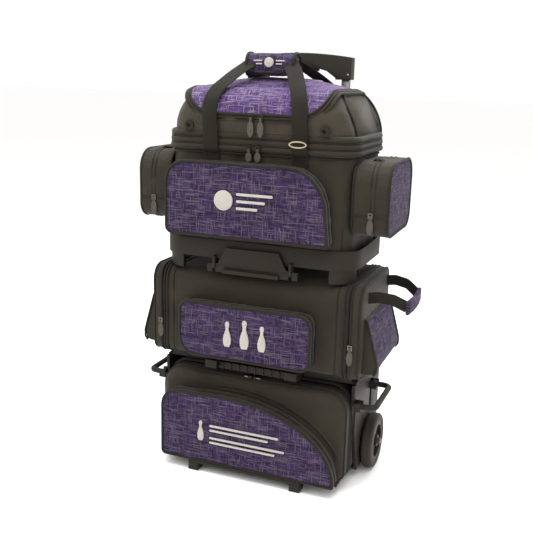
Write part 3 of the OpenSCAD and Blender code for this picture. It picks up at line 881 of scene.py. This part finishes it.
def lid_plan(margin):
    """Edge of the lid in x and t, moved outwards by a margin, from its back right corner round the front."""
    far = (len(LID_PROFILE) - 1) * LID_STEP
    side = 170 + margin
    return ([(side, far)] + arc(104, 66 - margin * 0.2, 66 + margin, 0, -90, 12)
            + arc(-104, 66 - margin * 0.2, 66 + margin, 270, 180, 12) + [(-side, far)])


def lid():
    rings = [[at(*p, z) for p in spread(lid_plan(0), 5)] for z in (0, 6)]
    bm = loft(rings, start_cap=True, end_cap=True)
    bmesh.ops.recalc_face_normals(bm, faces=bm.faces)
    piece = remeshed(bm, "lid_cloth", 4 * MM)
    top = [f.center.z > 4 * MM for f in piece.data.polygons]
    for vert in piece.data.vertices:
        x, t, h = vert.co / MM
        vert.co = lid_point(x, t, h - 4)
    crumple(piece, 1.5 * MM, 45 * MM, 11)
    piece.data.materials.clear()
    # The lid's top face takes the purple painted lighter, as painted light from above.
    for material in (PURPLE_TOP_LIT, LINING):
        piece.data.materials.append(material)
    for face, shown in zip(piece.data.polygons, top):
        face.material_index = 0 if shown else 1
    finer = piece.modifiers.new("finer", "SUBSURF")
    finer.levels = finer.render_levels = 1
    apply_modifiers(outward(piece, (0, 0, 0.9)))
    settle(piece, "lid", "purple_fabric", "lid_flap")

    def edge(margin, h):
        return [lid_point(x, t, h) for x, t in spread(lid_plan(margin), 6, False)]

    settle(tube(edge(0, 0), 3.0 * MM, PIPING, closed=False, name="lid_piping"), "lid", "black_fabric")
    rows = [tube(edge(margin, h), radius * MM, material, closed=False)
            for margin, h, radius, material in ((5.5, -1.5, 2.6, BLACK), (9, -4, 2.0, PIPING),
                                                (12.5, -5, 3.0, BLACK))]
    settle(join("lid_zip", rows), "hood", "black_fabric")
    line = [lid_point(x, 205, 2) for x in range(-100, 101, 8)]
    settle(tube(line, 1.8 * MM, CREAM, closed=False, name="lid_cream_piping"), "lid", "purple_fabric")


def smooth_line(points, step):
    """Curve through the points, with its own points about step apart."""
    path = [Vector(p) for p in points]
    path = [path[0] * 2 - path[1]] + path + [path[-1] * 2 - path[-2]]
    fine = []
    for a, b, c, d in zip(path, path[1:], path[2:], path[3:]):
        for i in range(10):
            t = i / 10
            fine.append((b * 2 + (c - a) * t + (a * 2 - b * 5 + c * 4 - d) * t * t
                         + (b * 3 - a - c * 3 + d) * t ** 3) / 2)
    return spread(fine + [path[-2]], step, False)


def strap_pair(name, path, width):
    rows = []
    for sign in (1, -1):
        points = smooth_line([at(sign * x, y, z) for x, y, z in path], 6 * MM)
        rows.append(ribbon(points, RIGHT, width * MM, 2.4 * MM, WEBBING))
    return join(name, rows)


def straps():
    feet = strap_pair("strap_feet", [(108, -140.5, 596), (108, -141, 700), (108, -141, 790),
                                     (108, -146, 795)], 38)
    settle(feet, "top_tote", "webbing", "strap_anchors")
    front = strap_pair("strap_front", [(108, -146.5, 797), (108, -148, 820), (108, -150, 845), (108, -154, 868),
                                       (108, -155, 890), (105, -150, 915), (96, -134, 938), (84, -112, 956),
                                       (70, -88, 974), (54, -66, 990), (44, -58, 998)], 36)
    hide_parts("strap_roots", "carry_strap_front")
    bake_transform(front)
    back = strap_pair("strap_back", [(100, 98, 940), (90, 66, 956), (72, 28, 976), (54, -4, 992),
                                     (44, -18, 998)], 36)
    settle(back, "lid", "webbing", "carry_strap_back")
    handle_wrap()


def handle_wrap():
    section = spread(rounded(-65, 968, -13, 1017, [14, 14, 20, 20]), 4)
    half, count = 57, 26
    middle = Vector((-39, 997))
    rings = []
    for i in range(count + 1):
        swell = 1 + 0.05 * math.sin(math.pi * i / count)
        x = half * (2 * i / count - 1)
        rings.append([at(x, *(middle + (p - middle) * swell)) for p in section])
    piece = keep(loft(rings, start_cap=True, end_cap=True), "wrap_cloth", PURPLE_FRONT)
    crumple(piece, 0.9 * MM, 18 * MM, 13)
    settle(piece, "lid", "purple_fabric", "handle_wrap")
    binding = [tube(rings[i], 4.2 * MM, PIPING) for i in (0, count)]
    low_front = min(range(len(section)), key=lambda i: (section[i] - Vector((-62, 976))).length)
    for spot in (low_front, (low_front + len(section) // 2) % len(section)):
        binding.append(tube([r[spot] for r in rings], 2.6 * MM, PIPING, closed=False))
    settle(join("wrap_binding", binding), "lid", "black_fabric")
    origin = at(0, -66.5, 0)
    ball = arc(0, 997, 11, 0, 345, 23)
    stripes = [bar(17, 38, 999, 3), bar(17, 32, 992, 3), bar(-38, -17, 999, 3), bar(-32, -17, 992, 3)]
    mark("wrap_mark", [mm(shape) for shape in [ball] + stripes], origin, RIGHT, UP, -BACK, 0.4 * MM, "lid")


# ---- middle tote ----

def section_ring(outline, x, swell=1.0):
    middle = sum(outline, Vector((0, 0))) / len(outline)
    return [at(x, *(middle + (p - middle) * swell)) for p in outline]


def middle_tote():
    low, high = in_mm(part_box("middle_tote_body"))
    outline = spread(rounded(low.y, low.z, high.y, high.z, TOTE_CORNERS), 5.5)
    count = 88
    stations = [low.x + (high.x - low.x) * i / count for i in range(count + 1)]
    rings = [section_ring(outline, x, 1 - 0.008 * math.cos(math.pi * x / high.x / 2)) for x in stations]
    piece = shell(loft(rings), "middle_tote_cloth", (0, 0, 0.4), BLACK, LINING)
    crumple(piece, 1.8 * MM, 46 * MM, 17, stretch=(0.5, 1, 1),
            rest=lambda co: 0 if co.z / MM < low.z + 6 else 1)
    apply_modifiers(walled(piece, 2.5 * MM))
    settle(piece, "middle_tote", "black_fabric", "middle_tote_body")
    rows = []
    for sign in (1, -1):
        for x in (234, 226):
            rows.append(tube(section_ring(outline, sign * x, 1.012), 2.4 * MM, PIPING))
        rows.append(tube(section_ring(outline, sign * 209, 1.004), 1.2 * MM, PIPING))
        for x in (204, 214):
            rows.append(stitches(section_ring(outline, sign * x, 1.006), PULL))
    settle(join("middle_tote_seams", rows), "middle_tote", "black_fabric")

    low, high = in_mm(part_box("middle_front_pocket"))
    shape = rounded(low.x, low.z, high.x, high.z, [44, 24, 30, 22])
    pins = [pin_shape(x, 342, h) for x, h in ((-44, 62), (0, 70), (44, 62))]
    front_pocket("middle_pocket", shape, low, high, "middle_tote", "middle_front_pocket", 19, pins, 4 * MM)


def tote_ends():
    for side, sign in SIDES.items():
        body = "end_flap_" + side
        low, high = in_mm(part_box("end_panel_" + side))
        inner, outer = sorted((abs(low.x), abs(high.x)))
        outline = spread(rounded(low.y, low.z, high.y, high.z, TOTE_CORNERS), 5.5)
        steps = [(inner, 1.0), (inner + 6, 1.006), (inner + 12, 1.004), (outer - 6, 1.0), (outer - 1, 0.985),
                 (outer + 2, 0.95), (outer + 4, 0.86), (outer + 5, 0.7), (outer + 5, 0.4)]
        rings = [section_ring(outline, sign * x, scale) for x, scale in steps]
        middle = (sign * 0.2, 0, 0.4)
        piece = shell(loft(rings, end_cap=True), "end_panel_cloth_" + side, middle, BLACK, LINING)
        apply_modifiers(walled(piece, 3 * MM))
        settle(piece, body, "black_fabric", "end_panel_" + side)
        rows = [tube(section_ring(outline, sign * (inner + 2.5), 1.014), 2.4 * MM, PIPING),
                tube(section_ring(outline, sign * (outer - 1), 0.992), 2.8 * MM, PIPING)]
        settle(join("end_panel_piping_" + side, rows), body, "black_fabric")
        end_pocket(side, sign, body)


def end_pocket(side, sign, body):
    """Wedge that leans out towards its foot."""
    low, high = in_mm(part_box("end_pocket_" + side))
    inner = min(abs(low.x), abs(high.x))
    section = [(inner, 300), (296, 302), (303, 312), (303, 330), (276, 428), (270, 434), (inner, 434)]
    sides = [low.y + (high.y - low.y) * i / 4 for i in range(5)]
    line = spread(section, 8)
    bm = loft([[at(sign * p[0], y, p[1]) for p in line] for y in sides], start_cap=True, end_cap=True)
    piece = remeshed(bm, "end_pocket_cloth_" + side)

    def on_face(co):
        return abs(co.x) / MM > inner + 8 and low.y + 3 < co.y / MM < high.y - 3 and co.z / MM > 306

    inflate(piece, lambda co: abs(co.x) / MM < inner + 4 or not on_face(co), 3.0, 5 * MM)
    finish_pocket(piece, "end_pocket_cloth_" + side, (PURPLE_SIDE, BLACK), on_face, 1.0 * MM, 24 * MM,
                  23 + sign)
    settle(piece, body, "purple_fabric", "end_pocket_" + side)
    rows = []
    for y in (low.y, high.y):
        edge = [at(sign * p[0], y, p[1]) for p in section[1:6]]
        rows.append(tube(spread(edge, 6 * MM, False), 2.8 * MM, PIPING, closed=False))
        again = [p + at(-sign * 5, 7 if y < 0 else -7, 0) for p in edge]
        rows.append(tube(spread(again, 6 * MM, False), 0.9 * MM, PIPING, closed=False))
    settle(join("end_pocket_piping_" + side, rows), body, "black_fabric")


def web_handles():
    loops = {"right": [(264, 92, 477), (290, 90, 482), (322, 80, 478), (346, 67, 464), (353, 62, 459)],
             "left": [(264, 80, 477), (272, 81, 470), (282, 82, 440), (292, 83, 410), (299, 82, 392)]}
    for side, path in loops.items():
        sign = SIDES[side]
        rows = []
        for end in (1, -1):
            points = [at(sign * x, end * y, z) for x, y, z in path]
            across = UP if side == "right" else BACK
            rows.append(ribbon(spread(points, 6 * MM, False), across, 26 * MM, 2.4 * MM, WEBBING))
        settle(join("web_handle_" + side, rows), "web_handle_" + side, "webbing", "end_strap_" + side)
        low, high = in_mm(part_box("end_grip_" + side))
        section = spread(rounded(low.x, low.z, high.x, high.z, [3.5] * 4, 3), 2.5)
        rings = []
        for i in range(31):
            share = i / 30
            y = low.y + (high.y - low.y) * share
            bow = sign * 4 * math.sin(math.pi * share)
            rings.append([at(p[0] + bow, y, p[1]) for p in section])
        piece = keep(loft(rings, start_cap=True, end_cap=True), "web_grip_" + side, PURPLE_SIDE)
        crumple(piece, 0.5 * MM, 14 * MM, 29)
        settle(piece, "web_handle_" + side, "purple_fabric", "end_grip_" + side)


# ---- bottom bag ----

def bottom_outline(top):
    return spread(rounded(-242, 29, 242, top, [14, 14, 52, 52]), 5.5)


def bottom_bag():
    low, high = in_mm(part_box("bottom_bag_body"))
    outline = bottom_outline(high.z)
    middle = Vector((0, (low.z + high.z) / 2))

    def ring(y, inset=0.0, shape=None):
        points = []
        for p in shape or outline:
            inward = (middle - p).normalized() * inset
            points.append(at(p[0] + inward.x, y, p[1] + inward.y))
        return points

    rings = [ring(low.y + (high.y - low.y) * i / 40) for i in range(41)]
    piece = shell(loft(rings, end_cap=True), "bottom_bag_cloth", (0, 0, 0.14), BLACK, LINING)
    apply_modifiers(walled(piece, 4 * MM))
    settle(piece, "cart", "black_fabric", "bottom_bag_body")
    rows = [tube(ring(low.y + d, -0.8), 2.4 * MM, PIPING) for d in (3, 12)]
    settle(join("bottom_bag_zip", rows), "cart", "black_fabric")

    low, high = in_mm(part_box("bottom_flap_panel"))
    shape = bottom_outline(high.z)
    steps = [(high.y, 0), (-104, -1), (-114, 0), (-124, 1), (-131, 5), (-136, 11), (-138.5, 20), (-139, 34),
             (-139, 60)]
    rings = [ring(y, inset, shape) for y, inset in steps]
    bm = loft(rings, end_cap=True)
    bmesh.ops.recalc_face_normals(bm, faces=bm.faces)
    bmesh.ops.subdivide_edges(bm, edges=bm.edges, cuts=1, use_grid_fill=True)
    piece = outward(keep(bm, "bottom_flap_cloth", BLACK, LINING), (0, 0, 0.14))

    def slack(co):
        """Only the front face crumples, and more so towards its top."""
        front_face = min(1, max(0, (-co.y / MM - 129) / 6))
        return front_face * (0.3 + 0.7 * min(1, max(0, (co.z / MM - 120) / 90)))

    crumple(piece, 2.6 * MM, 36 * MM, 31, rest=slack)
    apply_modifiers(walled(piece, 4 * MM))
    settle(piece, "bottom_flap", "black_fabric", "bottom_flap_panel")
    rows = [tube(ring(y, inset, shape), r * MM, PIPING)
            for y, inset, r in ((high.y - 3, -0.2, 2.4), (high.y - 12, 0, 2.4), (-126, 1.8, 2.4))]
    front = low.y
    low, high = in_mm(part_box("bottom_front_pocket"))
    for margin, radius in ((9, 2.6), (15, 2.0), (21, 2.6)):
        line = [at(-50 + (272 + margin) * math.sin(math.radians(a)), front - 1.5 + margin * 0.06,
                        29 + (176 + margin) * math.cos(math.radians(a))) for a in range(-8, 74, 3)]
        material = PIPING if margin == 15 else BLACK
        rows.append(tube([p for p in line if p.x < 0.226], radius * MM, material, closed=False))
    curve = [(-50 + 280 * math.sin(math.radians(a)), 31 + 178 * math.cos(math.radians(a))) for a in range(90, -1, -6)]
    shape = arc(low.x + 10, low.z + 10, 10, 180, 270, 4) + [(high.x, low.z)] + curve
    shape += arc(low.x + 42, 163, 42, 90, 180, 6)
    settle(join("bottom_flap_piping", rows), "bottom_flap", "black_fabric")
    shapes = [pin_shape(-112, 88, 52)]
    shapes += [bar(-88, x, z, 5) for x, z in ((92, 128), (66, 116), (108, 96), (84, 84))]
    front_pocket("bottom_pocket", shape, low, high, "bottom_flap", "bottom_front_pocket", 37, shapes)


# ---- hard pieces and fittings ----

def hard_pieces():
    cart = ("base_shell", "front_feet", "back_board", "tube_bracket", "middle_shelf", "side_handle_brackets")
    for node in cart:
        softened(node, PLASTIC, "cart", "shell_plastic")
    softened("outer_tubes", GRIP, "cart", "tube_metal", 1.2 * MM)
    softened("top_tray", PLASTIC, "top_tote", "shell_plastic", 2.0 * MM, 3)
    softened("latch_plate", PLASTIC, "latch", "shell_plastic", 1.2 * MM)
    softened("inner_tubes", TUBE, "pull_handle", "tube_metal", 1.2 * MM)
    softened("handle_grip", GRIP, "pull_handle", "grip_plastic", 5 * MM, 4)
    softened("release_trigger", GRIP, "trigger", "grip_plastic", 2 * MM)
    for tier, body in (("bottom", "cart"), ("middle", "middle_tote"), ("top", "top_tote")):
        softened(tier + "_ball_cups", FOAM, body, "foam", 3 * MM)


def grip_rivet():
    bm = bmesh.new()
    turn = Matrix.Rotation(math.radians(90), 4, "X")
    bmesh.ops.create_cone(bm, cap_ends=True, segments=24, radius1=3 * MM, radius2=2.2 * MM, depth=2.4 * MM,
                          matrix=Matrix.Translation((0.127, 0.1436, 0.974)) @ turn)
    bmesh.ops.bevel(bm, geom=bm.edges[:], offset=0.4 * MM, segments=2, profile=0.5, affect="EDGES",
                    material=-1)
    settle(keep(bm, "grip_rivet", BRASS), "pull_handle", "ring_metal")


def paint_nodes():
    """Gives every CAD node that still shows its finish."""
    finishes = {"axle_bolts": METAL, "strap_ring": BRASS, "upper_fittings": PLASTIC}
    for node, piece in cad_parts.items():
        if node.startswith("tyre"):
            finishes[node] = TYRE
        elif node.startswith("rim"):
            finishes[node] = RIM
        elif node.startswith("pull_"):
            finishes[node] = PULL
        elif "sliders" in node:
            finishes[node] = METAL
        elif node.startswith("side_handle"):
            finishes.setdefault(node, PLASTIC)
        if node in finishes and not piece.hide_render:
            piece.data.materials.clear()
            piece.data.materials.append(finishes[node])


make_camera()
make_studio()
top_tote()
top_pocket()
side_pockets()
hood()
lid()
straps()
middle_tote()
tote_ends()
web_handles()
bottom_bag()
hard_pieces()
grip_rivet()
paint_nodes()
